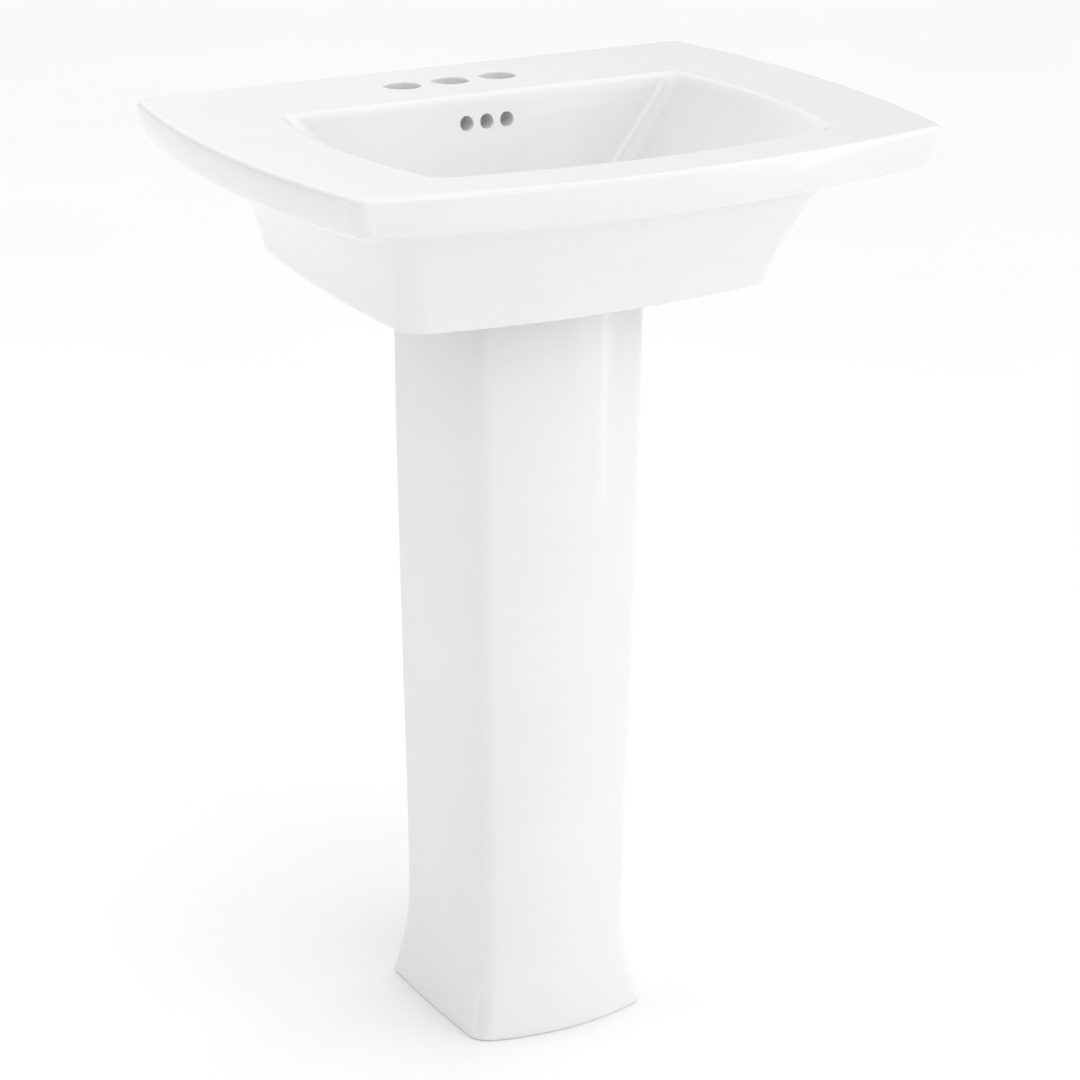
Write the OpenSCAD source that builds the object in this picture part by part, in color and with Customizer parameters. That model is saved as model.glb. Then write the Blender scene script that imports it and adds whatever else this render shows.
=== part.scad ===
// Pedestal sink: a vitreous china basin with a wide flared rim on a hollow
// china pedestal, with its push-to-close drain and its trap.
// Millimetres, +Z up, front towards -Y, wall behind at +Y, floor at z = 0.

/* [Overall] */
// Height of the basin's flat top above the floor
rim_h = 898.5; // [860:0.5:930]
// Depth from the wall to the middle of the front edge
depth = 498; // [490:0.5:510]
// Widest width of the rim
width = 632; // [620:0.5:645]

/* [Basin rim] */
// How far the front edge bows out past its corners
front_bow = 40; // [30:1:46]
// How far each side edge bows out past its corners
side_bow = 23.5; // [12:0.5:28]
// Plan radius of the two front corners
rim_corner_r = 11; // [6:1:20]
// Height of the rim's edge band
band_h = 39.3; // [34:0.1:41]
// Thickness of the flat deck behind the bowl
deck_t = 16; // [14:1:20]
// Thickness of the china walls
china_t = 12; // [9:1:13]

/* [Bowl] */
// Half of the opening's width along its back edge
bowl_back_w = 210; // [195:1:215]
// Distance of the opening's back edge from the wall
bowl_back = 130; // [126:1:138]
// Distance of the opening's front corners from the wall
bowl_front = 421; // [412:1:424]
// Depth of the bowl at the drain
bowl_depth = 130; // [126:1:132]
// Radius of the bowl's four inside corners at the opening
bowl_corner_r = 12; // [8:1:20]

/* [Holes] */
// Spacing of the faucet holes
faucet_pitch = 50.8; // [48:0.1:54]
// Diameter of each faucet hole
faucet_d = 35; // [32:0.5:38]
// Distance of the faucet holes from the wall
faucet_back = 67; // [62:1:74]
// Diameter of each overflow hole
overflow_d = 13.5; // [8:0.5:15]
// Spacing of the overflow holes
overflow_pitch = 21.2; // [18:0.1:26]
// Depth of the overflow holes below the rim
overflow_z = 25.5; // [24:0.5:32]
// Spacing of the two wall bolt holes
wall_pitch = 203.2; // [180:0.1:230]
// Diameter of the wall bolt holes
wall_hole_d = 12; // [9:0.5:14]
// Diameter of the drain hole
drain_hole_d = 44.5; // [44:0.1:46]

/* [Pedestal] */
// Half width of the pedestal at its top
ped_top_w = 92.6; // [88:0.1:96]
// Half width of the foot at the floor
ped_foot_w = 94.5; // [90:0.1:100]
// How far the pedestal's front face bows out
ped_bow = 18; // [10:1:22]
// Radius of the pedestal's two front corners
ped_corner_r = 15; // [8:1:22]
// Diameter of the floor anchor hole
anchor_d = 11; // [8:0.5:14]

/* [Drain and trap] */
// Distance of the drain's axis from the wall
drain_back = 225; // [215:1:230]
// Travel of the stopper
stopper_travel = 9; // [6:0.5:9]
// Outside diameter of the waste tube
tube_d = 31.75; // [31:0.05:33]
// Wall thickness of the waste tube
tube_t = 1.4; // [1:0.1:2]
// Height of the waste outlet's axis above the floor
outlet_h = 510; // [480:1:520]
// Bend radius of the trap
bend_r = 38; // [36:1:40]

/* [Hidden] */
$fn = 64;
e = 0.01;

china = [0.93, 0.93, 0.92];
chrome = [0.78, 0.79, 0.80];
brass = [0.72, 0.58, 0.32];
rubber = [0.10, 0.10, 0.10];
nylon = [0.85, 0.85, 0.82];

// The wall plane. Distances "back" are measured from it towards the front.
wall_y = depth / 2;
corner_w = width / 2 - side_bow;          // half width at the chord of a rim side
corner_d = depth - front_bow;             // distance of the front corners from the wall
drain_y = wall_y - drain_back;
seat_z = 148;                             // underside of the bowl's pad, below the rim
skirt_z = 158;                            // bottom of the skirt, below the rim
ped_h = rim_h - seat_z;                   // top of the pedestal
rt = tube_d / 2;

// ---------- outlines ----------
// Straight line from a to b, bulging sideways by bow, as a point at t in 0..1
function bulge(a, b, bow, t, skew = 0) =
  let (d = b - a, l = norm(d), n = [d[1], -d[0]] / l)
  a + d * t + n * (4 * bow * t * (1 - t) * (1 + skew * (2 * t - 1)));
// Rounded corner at c between p and q
function corner(p, c, q, k) = [for (i = [1:k - 1]) let (t = i / k, a = p + (c - p) * 0.5523, b = q + (c - q) * 0.5523)
  p * pow(1 - t, 3) + a * 3 * t * pow(1 - t, 2) + b * 3 * t * t * (1 - t) + q * pow(t, 3)];
// One edge with its ends trimmed
function edge(a, b, bow, ra, rb, k, skew = 0) =
  let (l = norm(b - a), t0 = ra / l, t1 = 1 - rb / l)
  [for (i = [0:k]) bulge(a, b, bow, t0 + (t1 - t0) * i / k, skew)];
// Closed outline, counter-clockwise from the back left: v = [half width at back,
// half width at front corners, back distance, front distance, side bow, front bow,
// back corner radius, front corner radius]. nb, ns, nf, nc are segment counts.
function outline(v, nb = 2, ns = 8, nf = 10, nc = 4) =
  let (
    bl = [-v[0], -v[2]], br = [v[0], -v[2]], fr = [v[1], -v[3]], fl = [-v[1], -v[3]],
    left = edge(bl, fl, -v[4] * -1, v[6], v[7], ns),
    front = edge(fl, fr, v[5], v[7], v[7], nf),
    right = edge(fr, br, v[4], v[7], v[6], ns),
    back = edge(br, bl, 0, v[6], v[6], nb))
  concat(left, corner(left[ns], fl, front[0], nc), front, corner(front[nf], fr, right[0], nc),
    right, corner(right[ns], br, back[0], nc), back, corner(back[nb], bl, left[0], nc));

// Linear look-up of row z in a table whose first column falls
function row(t, z) = z >= t[0][0] ? t[0] : z <= t[len(t) - 1][0] ? t[len(t) - 1] :
  let (i = [for (j = [0:len(t) - 2]) if (z <= t[j][0] && z > t[j + 1][0]) j][0],
       f = (t[i][0] - z) / (t[i][0] - t[i + 1][0])) t[i] + (t[i + 1] - t[i]) * f;
function tail(r) = [for (i = [1:len(r) - 1]) r[i]];

// Solid through a stack of outlines, each a list of the same number of points.
// Levels run from the top down; points run counter-clockwise seen from above.
module loft(rings, zs) {
  n = len(rings[0]);
  m = len(rings);
  pts = [for (k = [0:m - 1]) for (p = rings[k]) [p[0], p[1], zs[k]]];
  sides = [for (k = [0:m - 2]) for (i = [0:n - 1]) let (j = (i + 1) % n, a = k * n + i, b = k * n + j, c = (k + 1) * n + j, d = (k + 1) * n + i)
    each [[a, b, c], [a, c, d]]];
  polyhedron(pts, concat([[for (i = [n - 1:-1:0]) i]], sides, [[for (i = [0:n - 1]) (m - 1) * n + i]]));
}

// ---------- basin ----------
// Outside of the basin: z below the rim, then the outline's values
basin_t = let (w = corner_w, d = corner_d, s = side_bow, f = front_bow, r = rim_corner_r, b = band_h) [
  [0,          w - 5,    w - 5,    4,   d - 5,    s,        f,       5,  r - 3],
  [-1.5,       w - 1.6,  w - 1.6,  1.2, d - 1.6,  s,        f,       8,  r],
  [-5,         w,        w,        0,   d,        s,        f,       8,  r],
  [-12,        w - 0.8,  w - 0.8,  0,   d - 0.8,  s,        f,       8,  r],
  [-20,        w - 2.8,  w - 2.8,  0,   d - 2.8,  s,        f,       8,  r],
  [-28,        w - 5.8,  w - 5.8,  0,   d - 5.8,  s,        f,       8,  r],
  [-b + 2.5,   w - 10.5, w - 10.5, 0,   d - 10.5, s,        f,       8,  r],
  [-b,         w - 14.4, w - 14.4, 0,   d - 14.4, s,        f,       8,  r],
  [-b - 3.5,   w - 27,   w - 27,   0,   d - 28,   s * 0.94, f * 0.92, 8, 12],
  [-b - 7,     w - 46,   w - 43,   0,   d - 42,   s * 0.9,  f * 0.9, 8,  14],
  [-50.5,      229,      233,      0,   d - 55.5, 19.5,     32.5,    8,  15],
  [-57,        214.5,    219.5,    0,   d - 66.5, 17.5,     30,      8,  16],
  [-69.3,      205.5,    213.8,    0,   d - 73.7, 15.5,     28.5,    8,  18],
  [-87.7,      195.5,    207.1,    0,   d - 84.4, 13.5,     26.5,    8,  19],
  [-101.4,     188,      202.7,    0,   d - 91.5, 12,       25,      8,  20],
  [-118.4,     179.5,    197.1,    0,   d - 100.4, 11,      23.5,    8,  20],
  [-140.4,     172,      192.1,    0,   d - 108.4, 9.5,     21.5,    8,  21],
  [-skirt_z + 4, 168.6,  188.8,    0,   d - 114,  9,        20.5,    8,  21],
  [-skirt_z + 1, 167.5,  187.5,    0,   d - 115.4, 9,       20.5,    8,  20],
  [-skirt_z,   164.5,    184.5,    3,   d - 118.5, 9,       20.5,    6,  17]];
// Inside of the bowl
bowl_t = let (w = bowl_back_w, d0 = bowl_back, d1 = bowl_front, r = bowl_corner_r, g = bowl_depth) [
  [6,      w + 1,   w - 9,   d0 - 1,   d1 + 1,   19,  22, r, r],
  [0,      w,       w - 10,  d0,       d1,       19,  22, r, r],
  [-0.6,   w - 2.8, w - 12.8, d0 + 2.8, d1 - 2.8, 19, 22, r, r],
  [-2.2,   w - 5.4, w - 15.4, d0 + 5.0, d1 - 5.4, 19, 22, r, r],
  [-5,     w - 8.4, w - 18.2, d0 + 6.8, d1 - 8.4, 18.6, 21.8, r + 1, r + 1],
  [-18,    w - 19,  w - 29,  d0 + 9.4, d1 - 19.6, 17, 21, r + 2, r + 3],
  [-36,    w - 34,  w - 43,  d0 + 12.6, d1 - 35,  15, 19, r + 3, r + 6],
  [-56,    w - 51,  w - 59,  d0 + 16.6, d1 - 53,  13, 17, r + 5, r + 10],
  [-76,    w - 68,  w - 75,  d0 + 21,  d1 - 72,  11,  15, r + 8, r + 14],
  [-94,    w - 84,  w - 90,  d0 + 26.5, d1 - 90, 9.5, 13, r + 12, r + 18],
  [-107,   w - 97,  w - 102, d0 + 33,  d1 - 104, 8.5, 12, r + 16, r + 22],
  [-116,   w - 109, w - 114, d0 + 41,  d1 - 117, 8,   11, r + 18, r + 24],
  [-122,   w - 124, w - 128, d0 + 49,  d1 - 133, 7.5, 10, r + 17, r + 22],
  [-g + 4, w - 143, w - 146, d0 + 54,  d1 - 148, 7,   8,  r + 14, r + 16],
  [-g + 1.2, w - 163, w - 164, d0 + 58, d1 - 157, 6,  6,  r + 10, r + 12],
  [-g,     37,      37,      drain_back - 35, drain_back + 35, 3, 3, 20, 20]];

function basin_ring(r) = [for (p = outline(tail(r))) [p[0], p[1] + wall_y]];
function grow(r, g) = [r[0] + g, r[1] + g, r[2] - g, r[3] + g, r[4], r[5], r[6] + g * 0.6, r[7] + g * 0.6];
// Outside of the bowl's own wall: the inside shifted down and out
bowl_out_z = [-10, -24, -44, -64, -84, -100, -114, -124, -132, -140];
function bowl_out_ring(z) = [for (p = outline(grow(tail(row(bowl_t, min(z + 9, 0))), china_t * 0.8), 2, 6, 6, 3)) [p[0], p[1] + wall_y]];
// Space under the rim and behind the bowl, inside the skirt
under_z = [-deck_t, -24, -34, -42, -52, -64, -80, -98, -118, -140, -skirt_z - 5];
function under_ring(z) = let (r = tail(row(basin_t, min(z - 8, -30))))
  [for (p = outline([r[0] - china_t, r[1] - china_t, china_t + 2, r[3] - china_t - 2, r[4], r[5], 6, 10], 2, 6, 6, 3)) [p[0], p[1] + wall_y]];
// Pad under the bowl that sits on the pedestal and takes the drain
pad_v = [104, 104, 100, 306, 3, 14, 12, 14];

// Channel that carries the overflow down behind the bowl to the drain hole:
// side profile as [distance from wall, z below the rim]
duct_in = [[129, -17], [129.5, -62], [133, -88], [141, -112], [152, -128], [166, -139.5], [206, -139.5],
           [206, -146], [160, -146], [141, -134], [128, -114], [119, -88], [116, -62], [116, -17]];
duct_out = [[143, -12], [143, -80], [160, -118], [170, -128], [170, -147.9], [152, -147.9], [131, -139],
            [116, -118], [107, -90], [104, -62], [104, -12]];

module side_profile(p, w) {
  translate([-w / 2, wall_y, rim_h]) rotate([90, 0, 90])
    linear_extrude(w) polygon([for (q = p) [-q[0], q[1]]]);
}

module basin() {
  color(china) difference() {
    translate([0, 0, rim_h]) loft([for (r = basin_t) basin_ring(r)], [for (r = basin_t) r[0]]);
    // the bowl
    translate([0, 0, rim_h]) loft([for (r = bowl_t) basin_ring(r)], [for (r = bowl_t) r[0]]);
    // the open underside, round the bowl's wall, its pad and the overflow channel
    difference() {
      translate([0, 0, rim_h]) loft([for (z = under_z) under_ring(z)], under_z);
      translate([0, 0, rim_h]) loft([for (z = bowl_out_z) bowl_out_ring(z)], bowl_out_z);
      translate([0, 0, rim_h]) loft([for (z = [-112, -seat_z]) [for (p = outline(pad_v, 2, 2, 6, 3)) [p[0], p[1] + wall_y]]], [-112, -seat_z]);
      side_profile(duct_out, 98);
    }
    side_profile(duct_in, 74);
    // drain hole
    translate([0, drain_y, rim_h - 170]) cylinder(d = drain_hole_d, h = 60);
    // faucet holes, each with a softened top edge
    for (i = [-1:1]) translate([i * faucet_pitch, wall_y - faucet_back, rim_h - 60]) {
      cylinder(d = faucet_d, h = 80);
      translate([0, 0, 60 - 1.5]) cylinder(r1 = faucet_d / 2, r2 = faucet_d / 2 + 2, h = 1.5 + e);
    }
    // overflow holes
    for (i = [-1:1]) translate([i * overflow_pitch, wall_y - bowl_back - 25, rim_h - overflow_z])
      rotate([-90, 0, 0]) cylinder(d = overflow_d, h = 30);
    // wall bolt holes
    for (s = [-1, 1]) translate([s * wall_pitch / 2, wall_y + 5, rim_h - 92])
      rotate([90, 0, 0]) cylinder(d = wall_hole_d, h = 40);
  }
}

// ---------- pedestal ----------
// Height above the floor, half width, back distance, front distance
ped_t = let (w = ped_top_w, f = ped_foot_w) [
  [ped_h, w,       124,   283.5],
  [700,   w - 0.7, 123,   283.2],
  [600,   w - 2.2, 120.5, 282.6],
  [500,   w - 4,   119,   282],
  [400,   w - 5.8, 118.5, 281],
  [300,   w - 7.8, 118,   278.6],
  [200,   w - 9.8, 118,   275.8],
  [140,   w - 10.5, 118,  274.6],
  [104,   w - 10.8, 117.5, 273.8],
  [86,    w - 10.7, 116.8, 273.6],
  [70,    w - 9.8, 115.8, 274.6],
  [54,    f - 10.2, 114.6, 276.6],
  [40,    f - 7.6, 113.4, 279],
  [27,    f - 4.8, 111.8, 281.4],
  [15,    f - 2.2, 109.6, 283.6],
  [6,     f - 0.3, 107.4, 285.2],
  [3,     f,       107,   285.5],
  [0.8,   f - 0.8, 107.6, 284.8],
  [0,     f - 2.4, 109,   283.2]];
function ped_ring(z) = let (r = row(ped_t, z))
  [for (p = outline([r[1], r[1], r[2], r[3], 2.5, ped_bow, 3, ped_corner_r], 2, 4, 8, 5)) [p[0], p[1] + wall_y]];
// Hollow inside, with its back at the given distance from the wall
function ped_hollow(z, back) = let (r = row(ped_t, z), w = r[1] - china_t)
  [for (p = outline([w, w, back, r[3] - china_t, 2.5, ped_bow - 1, 4, ped_corner_r - 6], 2, 4, 8, 4)) [p[0], p[1] + wall_y]];
// The table's heights between z0 and z1, from the top down
function ped_levels(z0, z1) = concat([z1], [for (r = ped_t) if (r[0] > z0 + 1 && r[0] < z1 - 1) r[0]], [z0]);
module ped_cut(z0, z1, back) {
  zs = ped_levels(z0, z1);
  loft([for (z = zs) ped_hollow(z, back)], zs);
}

module pedestal() {
  color(china) difference() {
    loft([for (r = ped_t) ped_ring(r[0])], [for (r = ped_t) r[0]]);
    // open back, between the foot and the web at the top
    ped_cut(26.2, ped_h - 34, 90);
    // through the top, behind it a web
    ped_cut(ped_h - 40, ped_h + 5, 136);
    // through the foot in front of the web that takes the floor anchor
    ped_cut(-5, 33, 168);
    // under that web
    ped_cut(-5, 16, 122);
    translate([0, wall_y - 142, -5]) cylinder(d = anchor_d, h = 50);
  }
}

// ---------- drain ----------
flange_z = rim_h - bowl_depth;            // the bowl's floor at the drain

module ring(r0, r1, z0, z1) {
  translate([0, drain_y, z0]) difference() {
    cylinder(r = r1, h = z1 - z0);
    translate([0, 0, -1]) cylinder(r = r0, h = z1 - z0 + 2);
  }
}
module turned(p) { translate([0, drain_y, 0]) rotate_extrude() polygon(p); }

module drain_flange() {
  z = flange_z + 1.5;
  // the web across the throat carries the cartridge and has three ports for the water
  color(chrome) difference() {
    turned([[6.05, z - 8], [18.9, z - 8], [18.9, z], [31.2, z], [31.75, z + 0.5], [31.4, z + 1.2], [29, z + 2.1], [26.5, z + 2.5],
      [24.8, z + 2.2], [22.5, z + 1.7], [20, z + 1], [18, z - 0.4], [17, z - 1.8], [17, z - 5], [8.6, z - 5], [8.6, z - 4], [6.05, z - 4]]);
    for (a = [30, 150, 270]) rotate_about(a) translate([12.6, 0, z - 9]) cylinder(d = 7.6, h = 6);
  }
}
module rotate_about(a) { translate([0, drain_y, 0]) rotate([0, 0, a]) children(); }
module flange_gasket() { color(rubber) ring(22.4, 30.5, flange_z, flange_z + 1.5); }
module drain_body() {
  z = flange_z;
  color(brass) difference() {
    turned([[19, z - 0.5], [21, z - 0.5], [21, z - 70], [19.6, z - 72], [19.6, z - 98], [15.95, z - 98], [15.95, z - 84],
      [14.6, z - 84], [14.6, z - 76], [19, z - 66]]);
    // overflow ports
    for (a = [0:60:179]) translate([0, drain_y, z - 12.8]) rotate([90, 0, a]) cylinder(d = 7.5, h = 60, center = true);
  }
}
module drain_gasket() { color(rubber) turned([[21.1, ped_h - 10], [30, ped_h - 10], [30, ped_h - 7], [26.5, ped_h], [21.1, ped_h]]); }
module drain_washer() { color(nylon) ring(21.3, 29, ped_h - 11.5, ped_h - 10); }
module drain_locknut() {
  color(brass) translate([0, drain_y, ped_h - 21.5]) difference() {
    intersection() { cylinder(d = 64, h = 10, $fn = 6); cylinder(r1 = 31, r2 = 33, h = 10); }
    translate([0, 0, -1]) cylinder(r = 21.1, h = 12);
  }
}

// ---------- stopper, shown raised ----------
cap_z = flange_z + 11.5;                   // underside of the cap when open
module stopper_cap() {
  z = cap_z;
  color(chrome) turned([[4.05, z + 2], [4.05, z - 3], [7, z - 3], [7, z], [19.6, z], [20.5, z + 0.6], [20.5, z + 1.6], [19.6, z + 2.4],
    [15, z + 3.4], [8, z + 4.1], [0, z + 4.3], [0, z + 2]]);
}
module stopper_seal() { z = cap_z; color(rubber) turned([[7.1, z - 3], [16, z - 3], [16.6, z - 2], [17.6, z], [7.1, z]]); }
module stopper_stem() {
  color(brass) translate([0, drain_y, cap_z - 30]) cylinder(r = 4, h = 32);
}
module stopper_cartridge() {
  z = flange_z + 1.5;
  color(brass) turned([[4.06, z - 4], [4.06, z - 45], [0, z - 45], [0, z - 47], [5, z - 47], [6, z - 46], [6, z - 4], [8.2, z - 4], [8.2, z - 2.4], [4.06, z - 2.4]]);
}
// Compression spring: a round wire wound on a helix
spring_z0 = flange_z - 43.5;
spring_z1 = cap_z - 30;
module stopper_spring() {
  wr = 0.45; cr = 3.1; turns = 8; k = 12; m = 6; h = spring_z1 - spring_z0 - 2 * wr - 0.04;
  n = turns * k;
  pts = [for (i = [0:n]) let (a = 360 * i / k, z = spring_z0 + wr + 0.02 + h * i / n)
    for (j = [0:m - 1]) let (b = 360 * j / m) [(cr + wr * cos(b)) * cos(a), drain_y + (cr + wr * cos(b)) * sin(a), z + wr * sin(b)]];
  faces = concat([[for (j = [0:m - 1]) j]],
    [for (i = [0:n - 1]) for (j = [0:m - 1]) let (q = (j + 1) % m, a = i * m + j, b = i * m + q, c = (i + 1) * m + q, d = (i + 1) * m + j)
      each [[a, d, c], [a, c, b]]],
    [[for (j = [m - 1:-1:0]) n * m + j]]);
  color([0.6, 0.6, 0.62]) polyhedron(pts, faces);
}

// ---------- waste pipe and trap ----------
tail_top = flange_z - 84;
trap_in_y = drain_y;
trap_out_y = drain_y + 2 * bend_r;
elbow_z = outlet_h - bend_r;               // where the arm starts to turn towards the wall
out_top = elbow_z - 16;                    // top of the trap's outlet collar
in_top = out_top + 36;                     // top of the trap's inlet collar
bend_z = out_top - 36;                     // centre of the trap's bend

module tailpiece() {
  color(chrome) translate([0, drain_y, in_top - 22]) difference() {
    cylinder(r = rt, h = tail_top - in_top + 22);
    translate([0, 0, -1]) cylinder(r = rt - tube_t, h = tail_top - in_top + 24);
  }
}
// Slip nut: a ribbed ring over a collar whose top is at z
module slip_nut(y, z) {
  color(chrome) translate([0, y, z]) difference() {
    union() {
      translate([0, 0, -15]) cylinder(r = 23.4, h = 22);
      for (a = [0:45:359]) rotate([0, 0, a + 20]) translate([22, -2.5, -14.6]) cube([3, 5, 17.4]);
    }
    translate([0, 0, -16]) cylinder(r = 20.6, h = 20);
    translate([0, 0, 0]) cylinder(r = rt + 0.25, h = 10);
  }
}
module slip_washer(y, z) {
  color(nylon) translate([0, y, z]) difference() {
    cylinder(r = 20.3, h = 4);
    translate([0, 0, -1]) cylinder(r = rt + 0.05, h = 6);
  }
}
module tube_bend(y, z, a, start, r0) {
  // quarter or half turn in the plane of the drain and the wall
  translate([0, y, z]) rotate([90, 0, 90]) rotate([0, 0, start]) rotate_extrude(angle = a) translate([bend_r, 0]) circle(r = r0);
}
module bend_core(r0) {
  translate([0, trap_in_y, bend_z]) cylinder(r = r0, h = in_top - 24 - bend_z);
  tube_bend(drain_y + bend_r, bend_z, 180, 180, r0);
  translate([0, trap_out_y, bend_z]) cylinder(r = r0, h = out_top - 24 - bend_z);
}
module collar(y, z, g) {
  // tapered shoulder and threaded collar, or the bore inside it
  if (g == 0) translate([0, y, z - 28]) rotate_extrude() polygon([[0, 0], [rt, 0], [20.5, 4], [20.5, 28], [0, 28]]);
  else translate([0, y, z - 24]) cylinder(r = rt + 0.1, h = 30);
}
module trap_bend() {
  color(chrome) difference() {
    union() { bend_core(rt); collar(trap_in_y, in_top, 0); collar(trap_out_y, out_top, 0); }
    bend_core(rt - tube_t);
    collar(trap_in_y, in_top, 1);
    collar(trap_out_y, out_top, 1);
  }
}
module arm_core(r0, x) {
  translate([0, trap_out_y, out_top - 22 - x]) cylinder(r = r0, h = elbow_z - out_top + 22 + x);
  tube_bend(trap_out_y + bend_r, elbow_z, 90, 90, r0);
  translate([0, trap_out_y + bend_r, outlet_h]) rotate([-90, 0, 0]) cylinder(r = r0, h = wall_y - trap_out_y - bend_r + x);
}
module trap_arm() {
  color(chrome) difference() { arm_core(rt, 0); arm_core(rt - tube_t, 2); }
}
basin();
pedestal();
drain_flange();
flange_gasket();
drain_body();
drain_gasket();
drain_washer();
drain_locknut();
stopper_cap();
stopper_seal();
stopper_stem();
stopper_cartridge();
stopper_spring();
tailpiece();
slip_nut(trap_in_y, in_top);  // trap_inlet_nut
slip_washer(trap_in_y, in_top);  // trap_inlet_washer
trap_bend();
slip_nut(trap_out_y, out_top);  // trap_outlet_nut
slip_washer(trap_out_y, out_top);  // trap_outlet_washer
trap_arm();
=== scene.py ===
import math

import bpy
import numpy as np
from mathutils import Matrix, Vector


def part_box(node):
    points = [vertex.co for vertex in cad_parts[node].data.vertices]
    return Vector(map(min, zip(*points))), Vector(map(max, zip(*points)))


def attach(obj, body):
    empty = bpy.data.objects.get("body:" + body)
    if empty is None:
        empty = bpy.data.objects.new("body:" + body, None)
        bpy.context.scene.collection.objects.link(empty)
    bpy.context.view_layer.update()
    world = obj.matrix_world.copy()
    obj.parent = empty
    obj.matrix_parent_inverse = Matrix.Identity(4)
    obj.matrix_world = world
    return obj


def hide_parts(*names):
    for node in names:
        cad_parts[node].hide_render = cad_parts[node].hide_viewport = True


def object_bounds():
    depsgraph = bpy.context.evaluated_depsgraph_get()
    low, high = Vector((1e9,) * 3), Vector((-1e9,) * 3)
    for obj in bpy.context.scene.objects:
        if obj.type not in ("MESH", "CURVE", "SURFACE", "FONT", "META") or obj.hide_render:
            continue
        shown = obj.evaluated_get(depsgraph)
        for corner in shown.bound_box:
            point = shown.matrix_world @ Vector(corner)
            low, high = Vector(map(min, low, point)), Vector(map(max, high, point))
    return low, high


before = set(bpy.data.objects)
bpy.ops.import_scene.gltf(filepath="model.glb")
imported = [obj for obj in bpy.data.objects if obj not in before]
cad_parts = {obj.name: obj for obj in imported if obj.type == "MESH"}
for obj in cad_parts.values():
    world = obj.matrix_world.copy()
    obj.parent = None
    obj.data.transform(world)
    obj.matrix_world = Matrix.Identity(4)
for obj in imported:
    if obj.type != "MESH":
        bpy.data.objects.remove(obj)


def corners(b):
    return [[float(x) for x in b[0]], [float(x) for x in b[1]]]


CAD_BOX = corners(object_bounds())
RIM = CAD_BOX[1][2]            # flat top of the deck
WALL = CAD_BOX[1][1]           # wall plane
scene = bpy.context.scene
M = 0.001

# ------------------------------------------------------------------ helpers


def link(name, me):
    o = bpy.data.objects.new(name, me)
    scene.collection.objects.link(o)
    return o


def pchip(x, y, q):
    """Monotone cubic through (x, y); y may have several columns."""
    x = np.asarray(x, float)
    y = np.asarray(y, float).reshape(len(x), -1)
    h = np.diff(x)[:, None]
    s = np.diff(y, axis=0) / h
    d = np.zeros_like(y)
    a, b = s[:-1], s[1:]
    h0, h1 = h[:-1], h[1:]
    same = (a * b) > 0
    w1, w2 = 2 * h1 + h0, h1 + 2 * h0
    with np.errstate(divide="ignore", invalid="ignore"):
        m = (w1 + w2) / (w1 / a + w2 / b)
    d[1:-1] = np.where(same, m, 0)
    d[0], d[-1] = s[0], s[-1]
    q = np.asarray(q, float)
    i = np.clip(np.searchsorted(x, q, side="right") - 1, 0, len(x) - 2)
    t = ((q - x[i]) / h[i, 0])[:, None]
    hh = h[i]
    return ((2 * t**3 - 3 * t**2 + 1) * y[i] + (t**3 - 2 * t**2 + t) * hh * d[i]
            + (-2 * t**3 + 3 * t**2) * y[i + 1] + (t**3 - t**2) * hh * d[i + 1])


def refine(rows, cols, step=1.6, least=2):
    """Rows smoothed along the profile's own length. cols are the ones that measure length."""
    r = np.asarray(rows, float)
    seg = np.sqrt((np.diff(r[:, cols], axis=0) ** 2).sum(1))
    u = np.concatenate([[0], np.cumsum(seg)])
    q = [0.0]
    for i, l in enumerate(seg):
        k = max(least, int(math.ceil(l / step)))
        q += [u[i] + l * (j + 1) / k for j in range(k)]
    return pchip(u, r, q)


def bulge(a, b, bow, t):
    d = b - a
    l = np.linalg.norm(d)
    n = np.array([d[1], -d[0]]) / l
    t = np.asarray(t, float)[:, None]
    return a + d * t + n * (4 * bow * t * (1 - t))


def corner(p, c, q, k):
    t = (np.arange(1, k) / k)[:, None]
    a, b = p + (c - p) * 0.5523, q + (c - q) * 0.5523
    return p * (1 - t)**3 + a * 3 * t * (1 - t)**2 + b * 3 * t * t * (1 - t) + q * t**3


def edge(a, b, bow, ra, rb, k):
    l = np.linalg.norm(b - a)
    t0, t1 = ra / l, 1 - rb / l
    return bulge(a, b, bow, t0 + (t1 - t0) * np.arange(k + 1) / k)


def outline(v, nb=8, ns=40, nf=48, nc=12):
    bl, br = np.array([-v[0], -v[2]]), np.array([v[0], -v[2]])
    fr, fl = np.array([v[1], -v[3]]), np.array([-v[1], -v[3]])
    left = edge(bl, fl, v[4], v[6], v[7], ns)
    front = edge(fl, fr, v[5], v[7], v[7], nf)
    right = edge(fr, br, v[4], v[7], v[6], ns)
    back = edge(br, bl, 0, v[6], v[6], nb)
    return np.concatenate([left, corner(left[-1], fl, front[0], nc), front, corner(front[-1], fr, right[0], nc),
                           right, corner(right[-1], br, back[0], nc), back, corner(back[-1], bl, left[0], nc)])


def loft(name, rings, zs, mat):
    """Closed solid through outlines (mm), top down."""
    n, m = len(rings[0]), len(rings)
    co = np.zeros((n * m, 3))
    for k in range(m):
        co[k * n:(k + 1) * n, :2] = rings[k]
        co[k * n:(k + 1) * n, 2] = zs[k]
    faces = []
    for k in range(m - 1):
        for i in range(n):
            j = (i + 1) % n
            faces.append((k * n + j, k * n + i, (k + 1) * n + i, (k + 1) * n + j))
    faces.append(tuple(range(n)))
    faces.append(tuple((m - 1) * n + i for i in range(n - 1, -1, -1)))
    me = bpy.data.meshes.new(name)
    me.from_pydata((co * M).tolist(), [], faces)
    me.materials.append(mat)
    me.update()
    return link(name, me)


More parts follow.
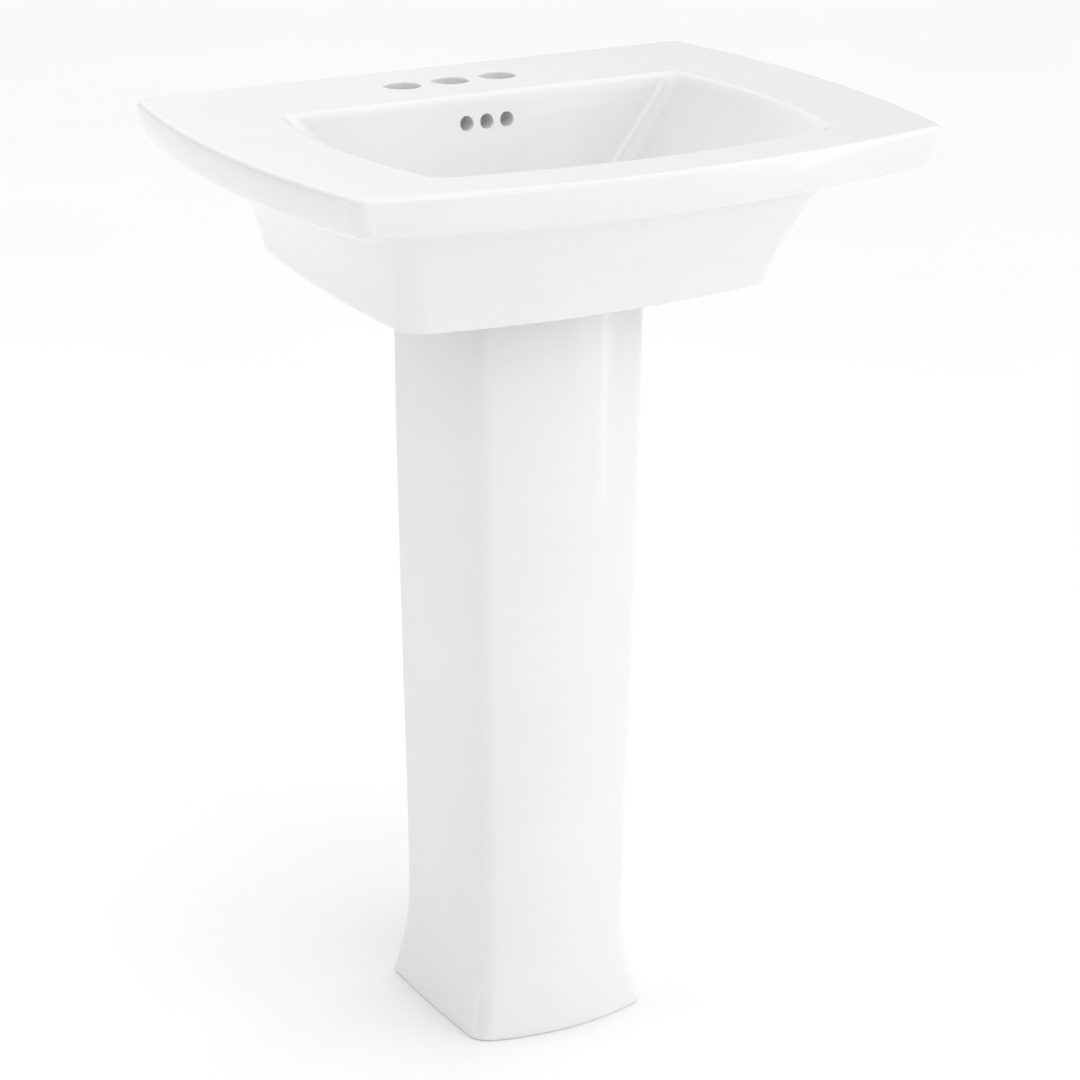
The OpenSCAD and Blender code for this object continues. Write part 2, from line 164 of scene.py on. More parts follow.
def lathe(name, profile, mat, n=96, centre=(0, 0, 0), closed=True):
    """Solid turned about Z from (r, z) in mm; r = 0 points are shared. Profile runs anticlockwise in (r, z)."""
    co, idx = [], []
    for r, z in profile:
        if r < 1e-9:
            idx.append([len(co)])
            co.append((0, 0, z))
        else:
            idx.append(list(range(len(co), len(co) + n)))
            co += [(r * math.cos(2 * math.pi * i / n), r * math.sin(2 * math.pi * i / n), z) for i in range(n)]
    faces = []
    pairs = list(zip(idx, idx[1:])) + ([(idx[-1], idx[0])] if closed else [])
    for a, b in pairs:
        if len(a) == 1 and len(b) == 1:
            continue
        for i in range(n):
            j = (i + 1) % n
            if len(a) == 1:
                faces.append((a[0], b[j], b[i]))
            elif len(b) == 1:
                faces.append((a[i], a[j], b[0]))
            else:
                faces.append((a[i], a[j], b[j], b[i]))
    c = np.array(centre, float)
    me = bpy.data.meshes.new(name)
    me.from_pydata([tuple((np.array(p) + c) * M) for p in co], [], faces)
    me.materials.append(mat)
    me.update()
    return link(name, me)


def outward(o):
    """Faces the mesh outwards."""
    import bmesh
    bm = bmesh.new()
    bm.from_mesh(o.data)
    bmesh.ops.remove_doubles(bm, verts=bm.verts, dist=1e-7)
    bmesh.ops.recalc_face_normals(bm, faces=bm.faces)
    bm.to_mesh(o.data)
    bm.free()
    o.data.update()
    return o


def boolean(a, b, op, keep=False):
    for o in (a, b):
        outward(o)
    m = a.modifiers.new("cut", "BOOLEAN")
    m.operation = op
    m.solver = "EXACT"
    m.material_mode = "TRANSFER"
    m.object = b
    dg = bpy.context.evaluated_depsgraph_get()
    me = bpy.data.meshes.new_from_object(a.evaluated_get(dg))
    a.modifiers.clear()
    old = a.data
    a.data = me
    bpy.data.meshes.remove(old)
    if not keep:
        drop(b)
    return a


def drop(o):
    me = o.data
    bpy.data.objects.remove(o)
    if me.users == 0:
        bpy.data.meshes.remove(me)


def smooth(o, angle=32, weighted=True):
    import bmesh
    bm = bmesh.new()
    bm.from_mesh(o.data)
    bmesh.ops.remove_doubles(bm, verts=bm.verts, dist=2e-6)
    bmesh.ops.dissolve_degenerate(bm, edges=bm.edges, dist=1e-6)
    bm.to_mesh(o.data)
    bm.free()
    o.data.shade_smooth()
    o.data.set_sharp_from_angle(angle=math.radians(angle))
    if weighted:
        m = o.modifiers.new("weighted", "WEIGHTED_NORMAL")
        m.keep_sharp = True
        m.weight = 50
    return o


# ------------------------------------------------------------------ materials


def material(name):
    m = bpy.data.materials.new(name)
    m.use_nodes = True
    nt = m.node_tree
    return m, nt, nt.nodes["Principled BSDF"]


def noise(nt, coord, scale, detail=3, rough=0.5):
    n = nt.nodes.new("ShaderNodeTexNoise")
    n.inputs["Scale"].default_value = scale
    n.inputs["Detail"].default_value = detail
    n.inputs["Roughness"].default_value = rough
    nt.links.new(coord, n.inputs["Vector"])
    return n.outputs["Fac"]


def ramp(nt, fac, stops):
    n = nt.nodes.new("ShaderNodeValToRGB")
    els = n.color_ramp.elements
    while len(els) < len(stops):
        els.new(0.5)
    for e, (p, c) in zip(els, stops):
        e.position = p
        e.color = (*c, 1) if len(c) == 3 else c
    nt.links.new(fac, n.inputs["Fac"])
    return n.outputs["Color"]


def span(nt, fac, lo, hi, a=0.0, b=1.0):
    n = nt.nodes.new("ShaderNodeMapRange")
    n.inputs["From Min"].default_value = a
    n.inputs["From Max"].default_value = b
    n.inputs["To Min"].default_value = lo
    n.inputs["To Max"].default_value = hi
    nt.links.new(fac, n.inputs["Value"])
    return n.outputs["Result"]


def bump(nt, height, strength, distance, normal=None):
    n = nt.nodes.new("ShaderNodeBump")
    n.inputs["Strength"].default_value = strength
    n.inputs["Distance"].default_value = distance
    nt.links.new(height, n.inputs["Height"])
    if normal is not None:
        nt.links.new(normal, n.inputs["Normal"])
    return n.outputs["Normal"]


def coords(nt):
    return nt.nodes.new("ShaderNodeTexCoord").outputs["Object"]


def glazed(name, tint_a, tint_b, rough_lo, rough_hi, coat):
    m, nt, p = material(name)
    c = coords(nt)
    nt.links.new(ramp(nt, noise(nt, c, 7, 4), [(0.3, tint_a), (0.7, tint_b)]), p.inputs["Base Color"])
    nt.links.new(span(nt, noise(nt, c, 38, 5, 0.6), rough_lo, rough_hi, 0.3, 0.7), p.inputs["Roughness"])
    n1 = bump(nt, noise(nt, c, 55, 2, 0.4), 0.12, 0.0006)
    n2 = bump(nt, noise(nt, c, 620, 2, 0.5), 0.05, 0.0001, n1)
    nt.links.new(n2, p.inputs["Normal"])
    p.inputs["IOR"].default_value = 1.5
    p.inputs["Coat Weight"].default_value = coat
    p.inputs["Coat Roughness"].default_value = 0.03
    p.inputs["Coat IOR"].default_value = 1.5
    return m


CHINA = glazed("glazed_china", (0.815, 0.817, 0.816), (0.790, 0.793, 0.792), 0.05, 0.13, 0.6)


def bare_clay():
    m, nt, p = material("unglazed_clay")
    c = coords(nt)
    nt.links.new(ramp(nt, noise(nt, c, 24, 6, 0.65), [(0.25, (0.66, 0.635, 0.59)), (0.75, (0.80, 0.785, 0.755))]), p.inputs["Base Color"])
    nt.links.new(span(nt, noise(nt, c, 90, 4), 0.62, 0.88, 0.3, 0.7), p.inputs["Roughness"])
    nt.links.new(bump(nt, noise(nt, c, 900, 6, 0.75), 0.35, 0.0006), p.inputs["Normal"])
    return m


CLAY = bare_clay()


def metal(name, a, b, rough_lo, rough_hi, scratch=0.06, stretch=(1, 1, 1)):
    m, nt, p = material(name)
    c = coords(nt)
    mp = nt.nodes.new("ShaderNodeMapping")
    mp.inputs["Scale"].default_value = stretch
    nt.links.new(c, mp.inputs["Vector"])
    v = mp.outputs["Vector"]
    nt.links.new(ramp(nt, noise(nt, c, 40, 5, 0.6), [(0.3, a), (0.75, b)]), p.inputs["Base Color"])
    nt.links.new(span(nt, noise(nt, v, 160, 6, 0.7), rough_lo, rough_hi, 0.3, 0.72), p.inputs["Roughness"])
    nt.links.new(bump(nt, noise(nt, v, 700, 4, 0.7), scratch, 0.0002), p.inputs["Normal"])
    p.inputs["Metallic"].default_value = 1.0
    return m


CHROME = metal("polished_chrome", (0.80, 0.81, 0.83), (0.70, 0.72, 0.75), 0.05, 0.16)
TUBE = metal("chromed_tube", (0.76, 0.77, 0.79), (0.66, 0.68, 0.71), 0.09, 0.24, 0.1, (1, 1, 0.12))
BRASS = metal("brass", (0.74, 0.58, 0.30), (0.55, 0.40, 0.18), 0.18, 0.42, 0.15)
STEEL = metal("spring_steel", (0.60, 0.61, 0.63), (0.45, 0.46, 0.48), 0.16, 0.38, 0.12)


def soft(name, a, b, rough_lo, rough_hi, grain):
    m, nt, p = material(name)
    c = coords(nt)
    nt.links.new(ramp(nt, noise(nt, c, 60, 5, 0.6), [(0.3, a), (0.75, b)]), p.inputs["Base Color"])
    nt.links.new(span(nt, noise(nt, c, 210, 4), rough_lo, rough_hi, 0.3, 0.7), p.inputs["Roughness"])
    nt.links.new(bump(nt, noise(nt, c, 1500, 4, 0.7), grain, 0.0003), p.inputs["Normal"])
    return m


RUBBER = soft("black_rubber", (0.018, 0.018, 0.019), (0.045, 0.044, 0.043), 0.5, 0.75, 0.25)
NYLON = soft("white_nylon", (0.74, 0.735, 0.70), (0.82, 0.815, 0.79), 0.32, 0.5, 0.12)

# ------------------------------------------------------------------ basin

w, d, s, f, r, b = 292.5, 458.0, 23.5, 40.0, 11.0, 39.3
BASIN_T = [[-5 * (1 - math.cos(a)), w - 5 * (1 - math.sin(a)), w - 5 * (1 - math.sin(a)), 4 * (1 - math.sin(a)), d - 5 * (1 - math.sin(a)),
            s, f, 5 + 3 * math.sin(a), r - 3 + 3 * math.sin(a)] for a in np.radians(np.arange(0, 91, 7.5))]
BASIN_T += [[-12, w - 0.8, w - 0.8, 0, d - 0.8, s, f, 8, r], [-20, w - 2.8, w - 2.8, 0, d - 2.8, s, f, 8, r],
            [-28, w - 5.8, w - 5.8, 0, d - 5.8, s, f, 8, r], [-b + 2.5, w - 10.5, w - 10.5, 0, d - 10.5, s, f, 8, r],
            [-b, w - 14.4, w - 14.4, 0, d - 14.4, s, f, 8, r], [-b - 3.5, w - 27, w - 27, 0, d - 28, s * 0.94, f * 0.92, 8, 12],
            [-b - 7, w - 46, w - 43, 0, d - 42, s * 0.9, f * 0.9, 8, 14], [-50.5, 229, 233, 0, d - 55.5, 19.5, 32.5, 8, 15],
            [-57, 214.5, 219.5, 0, d - 66.5, 17.5, 30, 8, 16], [-69.3, 205.5, 213.8, 0, d - 73.7, 15.5, 28.5, 8, 18],
            [-87.7, 195.5, 207.1, 0, d - 84.4, 13.5, 26.5, 8, 19], [-101.4, 188, 202.7, 0, d - 91.5, 12, 25, 8, 20],
            [-118.4, 179.5, 197.1, 0, d - 100.4, 11, 23.5, 8, 20], [-140.4, 172, 192.1, 0, d - 108.4, 9.5, 21.5, 8, 21],
            [-154, 168.6, 188.8, 0, d - 114, 9, 20.5, 8, 21], [-157, 167.5, 187.5, 0, d - 115.4, 9, 20.5, 8, 20],
            [-158, 164.5, 184.5, 3, d - 118.5, 9, 20.5, 6, 17]]
w, d0, d1, r, g = 210.0, 130.0, 421.0, 12.0, 130.0
BOWL_T = [[0, w, w - 10, d0, d1, 19, 22, r, r], [-0.6, w - 2.8, w - 12.8, d0 + 2.8, d1 - 2.8, 19, 22, r, r],
          [-2.2, w - 5.4, w - 15.4, d0 + 5.0, d1 - 5.4, 19, 22, r, r], [-5, w - 8.4, w - 18.2, d0 + 6.8, d1 - 8.4, 18.6, 21.8, r + 1, r + 1],
          [-18, w - 19, w - 29, d0 + 9.4, d1 - 19.6, 17, 21, r + 2, r + 3], [-36, w - 34, w - 43, d0 + 12.6, d1 - 35, 15, 19, r + 3, r + 6],
          [-56, w - 51, w - 59, d0 + 16.6, d1 - 53, 13, 17, r + 5, r + 10], [-76, w - 68, w - 75, d0 + 21, d1 - 72, 11, 15, r + 8, r + 14],
          [-94, w - 84, w - 90, d0 + 26.5, d1 - 90, 9.5, 13, r + 12, r + 18], [-107, w - 97, w - 102, d0 + 33, d1 - 104, 8.5, 12, r + 16, r + 22],
          [-116, w - 109, w - 114, d0 + 41, d1 - 117, 8, 11, r + 18, r + 24], [-122, w - 124, w - 128, d0 + 49, d1 - 133, 7.5, 10, r + 17, r + 22],
          [-g + 4, w - 143, w - 146, d0 + 54, d1 - 148, 7, 8, r + 14, r + 16], [-g + 1.2, w - 163, w - 164, d0 + 58, d1 - 157, 6, 6, r + 10, r + 12],
          [-g, 37, 37, 190, 260, 3, 3, 20, 20]]
WY, RZ = WALL / M, RIM / M


def lin(t, z):
    t = np.asarray(t, float)
    return np.array([np.interp(-z, -t[:, 0], t[:, k]) for k in range(t.shape[1])])


def plan(v, **k):
    p = outline(v, **k)
    p[:, 1] += WY
    return p


def build_basin():
    rows = refine(BASIN_T, [0, 2, 4], 1.7)
    outer = loft("basin_glazed", [plan(q[1:]) for q in rows], rows[:, 0] + RZ, CHINA)
    rows = refine(BOWL_T, [0, 2, 4], 1.8)
    rows = np.vstack([[6, 211, 201, 129, 422, 19, 22, 12, 12], rows])
    rows[1:, 0] = np.minimum(rows[1:, 0], 0)
    bowl = loft("cut_bowl", [plan(q[1:]) for q in rows], rows[:, 0] + RZ, CHINA)
    boolean(outer, bowl, "DIFFERENCE")
    # underside
    res = dict(nb=2, ns=16, nf=16, nc=5)
    zs = list(np.arange(-16, -60, -2.0)) + list(np.arange(-60, -163, -6.0)) + [-163]
    rings = []
    for z in zs:
        q = lin(BASIN_T, min(z - 8, -30))[1:]
        rings.append(plan([q[0] - 12, q[1] - 12, 14, q[3] - 14, q[4], q[5], 6, 10], **res))
    under = loft("cut_under", rings, [z + RZ for z in zs], CLAY)
    zs = list(np.linspace(-10, -124, 30)) + [-128, -132, -140]
    rings = []
    for z in zs:
        q = lin(BOWL_T, min(z + 9, 0))[1:]
        k = 9.6
        rings.append(plan([q[0] + k, q[1] + k, q[2] - k, q[3] + k, q[4], q[5], q[6] + k * .6, q[7] + k * .6], **res))
    boolean(under, loft("cut_bowl_out", rings, [z + RZ for z in zs], CLAY), "DIFFERENCE")
    ring = plan([104, 104, 100, 306, 3, 14, 12, 14], nb=2, ns=4, nf=10, nc=5)
    boolean(under, loft("cut_pad", [ring, ring], [RZ - 112, RZ - 148], CLAY), "DIFFERENCE")
    boolean(under, side("cut_duct_out", [[143, -12], [143, -80], [160, -118], [170, -128], [170, -147.9], [152, -147.9], [131, -139],
                                         [116, -118], [107, -90], [104, -62], [104, -12]], 98, CLAY), "DIFFERENCE")
    boolean(outer, under, "DIFFERENCE")
    boolean(outer, side("cut_duct_in", [[129, -17], [129.5, -62], [133, -88], [141, -112], [152, -128], [166, -139.5], [206, -139.5],
                                        [206, -146], [160, -146], [141, -134], [128, -114], [119, -88], [116, -62], [116, -17]], 74, CHINA), "DIFFERENCE")
    # drain hole, faucet holes with a glazed-over edge, overflow holes, wall bolt holes
    cut = [lathe("cut_drain", [(0, RZ - 172), (22.25, RZ - 172), (22.25, RZ - 131.2), (22.6, RZ - 130.4), (23.4, RZ - 130), (23.4, RZ - 112), (0, RZ - 112)],
                 CHINA, 96, (0, WY - 225, 0))]
    arc = [(19.6 + 2.1 * math.cos(a), -2.1 + 2.1 * math.sin(a)) for a in np.radians(np.linspace(180, 90, 8))]
    for i in (-1, 0, 1):
        cut.append(lathe("cut_tap%d" % i, [(0, RZ - 60), (17.5, RZ - 60)] + [(x, RZ + z) for x, z in arc] + [(19.6, RZ + 6), (0, RZ + 6)],
                         CHINA, 96, (50.8 * i, WY - 67, 0)))
    for i in (-1, 0, 1):
        o = lathe("cut_over%d" % i, [(0, -22), (8.6, -22), (8.0, -4.2), (7.2, -3.0), (6.75, -1.6), (6.75, 16), (0, 16)], CHINA, 64)
        o.data.transform(Matrix.Translation(Vector((21.2 * i, WY - 138, RZ - 25.5)) * M) @ Matrix.Rotation(math.radians(-90), 4, "X"))
        cut.append(o)
    for i in (-1, 1):
        o = lathe("cut_bolt%d" % i, [(0, -35), (6, -35), (6, 5), (0, 5)], CLAY, 48)
        o.data.transform(Matrix.Translation(Vector((101.6 * i, WY, RZ - 92)) * M) @ Matrix.Rotation(math.radians(-90), 4, "X"))
        cut.append(o)
    for c in cut:
        boolean(outer, c, "DIFFERENCE")
    return outer


def side(name, p, width, mat):
    """Prism of a side profile [distance from wall, z below rim], across X."""
    n = len(p)
    co = [(x, WY - q[0], RZ + q[1]) for x in (-width / 2, width / 2) for q in p]
    faces = [tuple(range(n)), tuple(range(2 * n - 1, n - 1, -1))] + [(i, i + n, (i + 1) % n + n, (i + 1) % n) for i in range(n)]
    me = bpy.data.meshes.new(name)
    me.from_pydata([tuple(np.array(q) * M) for q in co], [], faces)
    me.materials.append(mat)
    me.update()
    return link(name, me)


# ------------------------------------------------------------------ pedestal

PH = RZ - 148
w, f = 92.6, 94.5
PED_T = [[PH, w, 124, 283.5], [700, w - 0.7, 123, 283.2], [600, w - 2.2, 120.5, 282.6], [500, w - 4, 119, 282], [400, w - 5.8, 118.5, 281],
         [300, w - 7.8, 118, 278.6], [200, w - 9.8, 118, 275.8], [140, w - 10.5, 118, 274.6], [104, w - 10.8, 117.5, 273.8],
         [86, w - 10.7, 116.8, 273.6], [70, w - 9.8, 115.8, 274.6], [54, f - 10.2, 114.6, 276.6], [40, f - 7.6, 113.4, 279],
         [27, f - 4.8, 111.8, 281.4], [15, f - 2.2, 109.6, 283.6], [6, f - 0.3, 107.4, 285.2], [3, f, 107, 285.5],
         [0.8, f - 0.8, 107.6, 284.8], [0, f - 2.4, 109, 283.2]]


def build_pedestal():
    rows = refine(PED_T, [0, 1, 3], 5.0, 3)
    outer = loft("pedestal_glazed", [plan([q[1], q[1], q[2], q[3], 2.5, 18, 3, 15], nb=4, ns=14, nf=40, nc=12) for q in rows], rows[:, 0], CHINA)

    def cut(z0, z1, back, mat):
        zs = [z1] + [z for z in np.arange(745, 0, -15.0) if z0 + 1 < z < z1 - 1] + [z0]
        rings = []
        for z in zs:
            q = lin(PED_T, z)
            rings.append(plan([q[1] - 12, q[1] - 12, back, q[3] - 12, 2.5, 17, 4, 9], nb=2, ns=6, nf=14, nc=6))
        return loft("cut_ped", rings, zs, mat)

    for z0, z1, back in ((26.2, PH - 34, 90), (PH - 40, PH + 5, 136), (-5, 33, 168), (-5, 16, 122)):
        boolean(outer, cut(z0, z1, back, CLAY), "DIFFERENCE")
    boolean(outer, lathe("cut_anchor", [(0, -5), (5.5, -5), (5.5, 45), (0, 45)], CLAY, 48, (0, WY - 142, 0)), "DIFFERENCE")
    return outer


basin = smooth(build_basin())
pedestal = smooth(build_pedestal())


def unglazed(o, test):
    """Bare clay where the piece stood in the kiln or meets the wall."""
    me = o.data
    names = [m.name for m in me.materials]
    if CLAY.name not in names:
        me.materials.append(CLAY)
        names.append(CLAY.name)
    k = names.index(CLAY.name)
    for p in me.polygons:
        if test(p):
            p.material_index = k


unglazed(basin, lambda p: p.normal.y > 0.98 and p.center.y > WALL - 0.0005)
unglazed(pedestal, lambda p: p.center.z < 0.0007 or (p.normal.z > 0.95 and p.center.z > PH * M - 0.001))

for piece, node in ((basin, "basin"), (pedestal, "pedestal")):
    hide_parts(node)
    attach(piece, "sink")

# ------------------------------------------------------------------ fittings with finer shapes

DRAIN_Y = WALL / M - 225
FLOOR_Z = RZ - 130             # the bowl's floor at the drain
TAU = 2 * math.pi


def revolve(name, rings, mat, centre):
    """Closed band through rings of equal length, each (radii, heights) in mm, the last joined to the first."""
    n = len(rings[0][0])
    a = np.arange(n) * TAU / n
    co = []
    for r, z in rings:
        z = np.broadcast_to(z, (n,))
        co.append(np.c_[centre[0] + r * np.cos(a), centre[1] + r * np.sin(a), z])
    co = np.concatenate(co) * M
    faces = []
    for k in range(len(rings)):
        q = (k + 1) % len(rings)
        for i in range(n):
            j = (i + 1) % n
            faces.append((k * n + i, k * n + j, q * n + j, q * n + i))
    me = bpy.data.meshes.new(name)
    me.from_pydata(co.tolist(), [], faces)
    me.materials.append(mat)
    me.update()
    return outward(link(name, me))


def drain_body():
    """Threaded drain barrel with a plain lower end for the tailpiece."""
    n, pitch = 96, 2.2
    a = np.arange(n) / n
    z0, z1 = FLOOR_Z - 69.5, FLOOR_Z - 1.0
    rings = [(np.full(n, 19.4), FLOOR_Z - 98), (np.full(n, 19.6), FLOOR_Z - 97.6), (np.full(n, 19.6), FLOOR_Z - 72), (np.full(n, 20.2), FLOOR_Z - 70.6)]
    for z in np.arange(z0, z1 + 0.01, pitch / 6):
        t = (z / pitch - a) % 1.0
        ease = min(1.0, (z - z0) / 1.5, (z1 - z) / 1.5)
        rings.append((20.2 + 0.78 * np.clip(1.25 * (1 - np.abs(2 * t - 1)) - 0.1, 0, 1) * ease, z))
    rings += [(np.full(n, 20.2), FLOOR_Z - 0.5), (np.full(n, 19.05), FLOOR_Z - 0.5), (np.full(n, 19.0), FLOOR_Z - 1.2), (np.full(n, 19.0), FLOOR_Z - 66),
              (np.full(n, 14.6), FLOOR_Z - 76), (np.full(n, 14.6), FLOOR_Z - 84), (np.full(n, 15.95), FLOOR_Z - 84), (np.full(n, 15.95), FLOOR_Z - 97.8)]
    o = revolve("drain_barrel", rings, BRASS, (0, DRAIN_Y))
    for k in range(3):
        c = lathe("cut_port%d" % k, [(0, -30), (3.75, -30), (3.75, 30), (0, 30)], BRASS, 32)
        c.data.transform(Matrix.Translation(Vector((0, DRAIN_Y, FLOOR_Z - 12.8)) * M) @ Matrix.Rotation(math.radians(60 * k), 4, "Z") @ Matrix.Rotation(math.radians(90), 4, "X"))
        boolean(o, c, "DIFFERENCE")
    return smooth(o, 38)


def locknut():
    n = 144
    a = np.arange(n) * TAU / n
    hexa = 27.6 / np.cos((a + TAU / 12) % (TAU / 6) - TAU / 12)
    z0, z1 = PH - 21.5, PH - 11.5
    cap = lambda r: np.minimum(hexa, r)
    rings = [(cap(28.4), z0), (cap(30.2), z0 + 0.5), (cap(31.9), z0 + 1.6), (cap(31.9), z1 - 0.9), (cap(31.0), z1 - 0.3), (cap(30.2), z1),
             (np.full(n, 22.0), z1), (np.full(n, 21.15), z1 - 0.8), (np.full(n, 21.15), z0 + 0.8), (np.full(n, 22.0), z0)]
    return smooth(revolve("drain_nut", rings, BRASS, (0, DRAIN_Y)), 24)


def slip_nut(name, y, z):
    """Ribbed slip nut over a collar whose top is at z."""
    n = 192
    a = (np.degrees(np.arange(n) * TAU / n) - 20 + 22.5) % 45 - 22.5
    rib = 1.55 * np.clip((7.4 - np.abs(a)) / 2.6, 0, 1)
    body = np.full(n, 23.35)
    rings = [(body - 1.1, z - 15), (body - 0.3, z - 14.5), (body, z - 13.8), (body + rib * 0.2, z - 13.4), (body + rib * 0.8, z - 12.6), (body + rib, z - 11.6),
             (body + rib, z - 1.2), (body + rib * 0.85, z + 0.6), (body + rib * 0.3, z + 2.2), (body, z + 2.8), (body, z + 5.2), (body - 0.3, z + 6.2), (body - 1.2, z + 6.9),
             (body - 1.8, z + 7.0), (np.full(n, 16.9), z + 7.0), (np.full(n, 16.2), z + 6.5), (np.full(n, 16.2), z + 4.0), (np.full(n, 20.6), z + 4.0), (np.full(n, 20.6), z - 14.4), (np.full(n, 21.2), z - 15)]
    return smooth(revolve(name, rings, CHROME, (0, y)), 34)


def tailpiece():
    n, z0, z1 = 96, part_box("tailpiece")[0].z / M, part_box("tailpiece")[1].z / M
    f = lambda r: np.full(n, float(r))
    rings = [(f(14.7), z0), (f(15.1), z0 - 0.0 + 0.05), (f(15.6), z0 + 0.25), (f(15.87), z0 + 0.8), (f(15.87), z1 - 0.6), (f(15.6), z1 - 0.15), (f(15.1), z1),
             (f(14.6), z1 - 0.1), (f(14.48), z1 - 0.5), (f(14.48), z0 + 0.5)]
    return smooth(revolve("tail_tube", rings, TUBE, (0, DRAIN_Y)), 40)


def plunger():
    """The spring is one rigid piece, so the plunger is bored for it to slide over."""
    lo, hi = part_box("stopper_stem")
    n, r, z0, z1 = 48, (hi.x - lo.x) / 2 / M, lo.z / M, hi.z / M
    rows = [(r - 0.28, z0 + 9.6), (r - 0.28, z0 + 0.08), (r - 0.22, z0), (r - 0.08, z0), (r, z0 + 0.08), (r, z1 - 0.3), (r - 0.3, z1)]
    a = np.arange(n) * TAU / n
    co = np.concatenate([np.c_[q * np.cos(a), DRAIN_Y + q * np.sin(a), np.full(n, z)] for q, z in rows]) * M
    faces = [tuple(range(n))[::-1], tuple(range((len(rows) - 1) * n, len(rows) * n))]
    for k in range(len(rows) - 1):
        for i in range(n):
            j = (i + 1) % n
            faces.append((k * n + i, k * n + j, (k + 1) * n + j, (k + 1) * n + i))
    me = bpy.data.meshes.new("plunger")
    me.from_pydata(co.tolist(), [], faces)
    me.materials.append(BRASS)
    me.update()
    return smooth(outward(link("plunger", me)), 40)


COLLAR_IN, COLLAR_OUT = 492.0, 456.0
FINE = [(drain_body(), "drain_body", "brass"), (locknut(), "drain_locknut", "brass"),
        (slip_nut("slip_nut_in", DRAIN_Y, COLLAR_IN), "trap_inlet_nut", "chrome"),
        (slip_nut("slip_nut_out", DRAIN_Y + 76, COLLAR_OUT), "trap_outlet_nut", "chrome"),
        (tailpiece(), "tailpiece", "chrome")]
for piece, node, slot in FINE:
    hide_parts(node)
    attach(piece, "sink")
piece = plunger()
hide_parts("stopper_stem")
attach(piece, "stopper")

# ------------------------------------------------------------------ fittings that keep their CAD shape

LOOKS = {"drain_flange": CHROME, "flange_gasket": RUBBER, "drain_body": BRASS, "drain_gasket": RUBBER, "drain_washer": NYLON,
         "drain_locknut": BRASS, "stopper_cap": CHROME, "stopper_seal": RUBBER, "stopper_stem": BRASS, "stopper_cartridge": BRASS,
         "stopper_spring": STEEL, "tailpiece": TUBE, "trap_inlet_nut": CHROME, "trap_inlet_washer": NYLON, "trap_bend": TUBE,
         "trap_outlet_nut": CHROME, "trap_outlet_washer": NYLON, "trap_arm": TUBE}
for node, m in LOOKS.items():
    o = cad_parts.get(node)
    if o is None:
        continue
    if not o.data.materials:
        o.data.materials.append(m)
    for i in range(len(o.data.materials)):
        o.data.materials[i] = m

# ------------------------------------------------------------------ floor, light, camera


def stage():
    m, nt, p = material("studio_floor")
    c = coords(nt)
    nt.links.new(ramp(nt, noise(nt, c, 1.2, 3), [(0.3, (0.95, 0.95, 0.95)), (0.7, (0.97, 0.97, 0.97))]), p.inputs["Base Color"])
    p.inputs["Roughness"].default_value = 0.75
    p.inputs["Specular IOR Level"].default_value = 0.2
    me = bpy.data.meshes.new("studio_floor")
    k = 14.0
    me.from_pydata([(-k, -k, 0), (k, -k, 0), (k, k, 0), (-k, k, 0)], [], [(0, 1, 2, 3)])
    me.materials.append(m)
    o = link("studio_floor", me)


stage()

world = bpy.data.worlds.new("studio")
scene.world = world
world.use_nodes = True
wt = world.node_tree
bg = wt.nodes["Background"]
bg.inputs["Strength"].default_value = 1.0
way = wt.nodes.new("ShaderNodeTexCoord").outputs["Generated"]


def lobe(axis, power, amount):
    """Soft patch of light from one side of the studio."""
    d = wt.nodes.new("ShaderNodeVectorMath")
    d.operation = "DOT_PRODUCT"
    d.inputs[1].default_value = axis
    wt.links.new(way, d.inputs[0])
    out = d.outputs["Value"]
    for op, k in (("MAXIMUM", 0.0), ("POWER", power), ("MULTIPLY", amount)):
        n = wt.nodes.new("ShaderNodeMath")
        n.operation = op
        n.inputs[1].default_value = k
        wt.links.new(out, n.inputs[0])
        out = n.outputs[0]
    return out


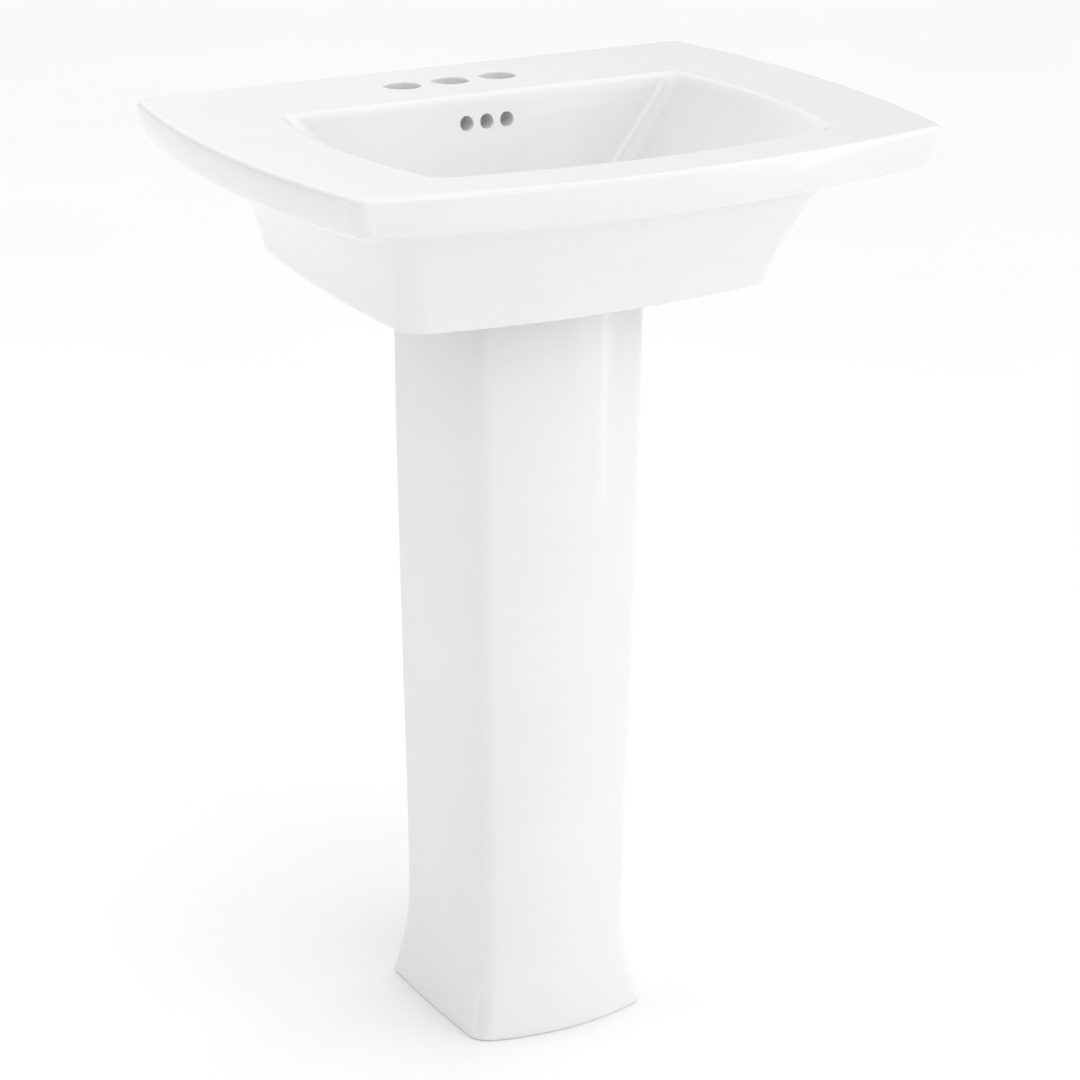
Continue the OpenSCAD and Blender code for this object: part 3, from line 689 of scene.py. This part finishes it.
LOBES = [
    ((0.5, 0.866, 0), 1.5, 0.292),
    ((0.1, 0.95, 0.3), 8, 0.69),
    ((0.9, -0.3, 0.3), 2, 1.071),
    ((-0.2, -0.98, 0), 2, 0.669),
    ((0, 0, 1), 2, 0.925),
    ((-0.8, 0.6, 0.1), 3, 0.381),
]
total = lobe(*LOBES[0])
for q in LOBES[1:]:
    n = wt.nodes.new("ShaderNodeMath")
    n.operation = "ADD"
    wt.links.new(total, n.inputs[0])
    wt.links.new(lobe(*q), n.inputs[1])
    total = n.outputs[0]
n = wt.nodes.new("ShaderNodeMath")
n.operation = "ADD"
n.inputs[1].default_value = 0.087
wt.links.new(total, n.inputs[0])
wt.links.new(n.outputs[0], bg.inputs["Strength"])
bg.inputs["Color"].default_value = (1, 1, 1, 1)


def area(name, loc, target, size, energy):
    l = bpy.data.lights.new(name, "AREA")
    l.shape = "RECTANGLE"
    l.size, l.size_y = size
    l.energy = energy
    o = bpy.data.objects.new(name, l)
    o.location = loc
    o.rotation_euler = (Vector(target) - Vector(loc)).to_track_quat("-Z", "Y").to_euler()
    o.visible_camera = False
    scene.collection.objects.link(o)
    return o


area("left_box", (-2.5, 0.9, 1.1), (0, 0, 0.6), (1.5, 2.0), 8.0)
area("right_box", (1.45, -1.55, 0.75), (0, 0, 0.6), (0.9, 1.5), 1.9)
area("top_box", (-0.7, 0.3, 3.0), (0, 0, 0.8), (2.0, 2.0), 5.5)
area("front_box", (0.2, -3.2, 1.6), (0, 0, 0.6), (1.5, 2.0), 5.1)
area("high_box", (-0.3, -1.6, 2.4), (0, 0, 0.85), (1.0, 1.0), 3.6)
area("strip_box", (1.12, -1.0, 0.62), (0, -0.15, 0.45), (0.12, 1.3), 0.3)

scene.view_settings.view_transform = "Standard"
scene.view_settings.look = "None"

cam = bpy.data.cameras.new("camera")
YAW, PITCH, F, DIST = math.radians(-29.091), math.radians(19.976), 3264.3, 3.11129
TX, TY = -6.47, 27.46
look = Vector((-math.sin(YAW) * math.cos(PITCH), math.cos(YAW) * math.cos(PITCH), -math.sin(PITCH)))
at = Vector((0, WALL - 0.230, RIM - 0.440))
cam.sensor_width = 36
cam.sensor_fit = "HORIZONTAL"
cam.lens = F / 1080 * 36
cam.shift_x = -TX / 1080
cam.shift_y = TY / 1080
cam.clip_end = 60
co = bpy.data.objects.new("camera", cam)
scene.collection.objects.link(co)
co.location = at - look * DIST
co.rotation_euler = look.to_track_quat("-Z", "Y").to_euler()
scene.camera = co
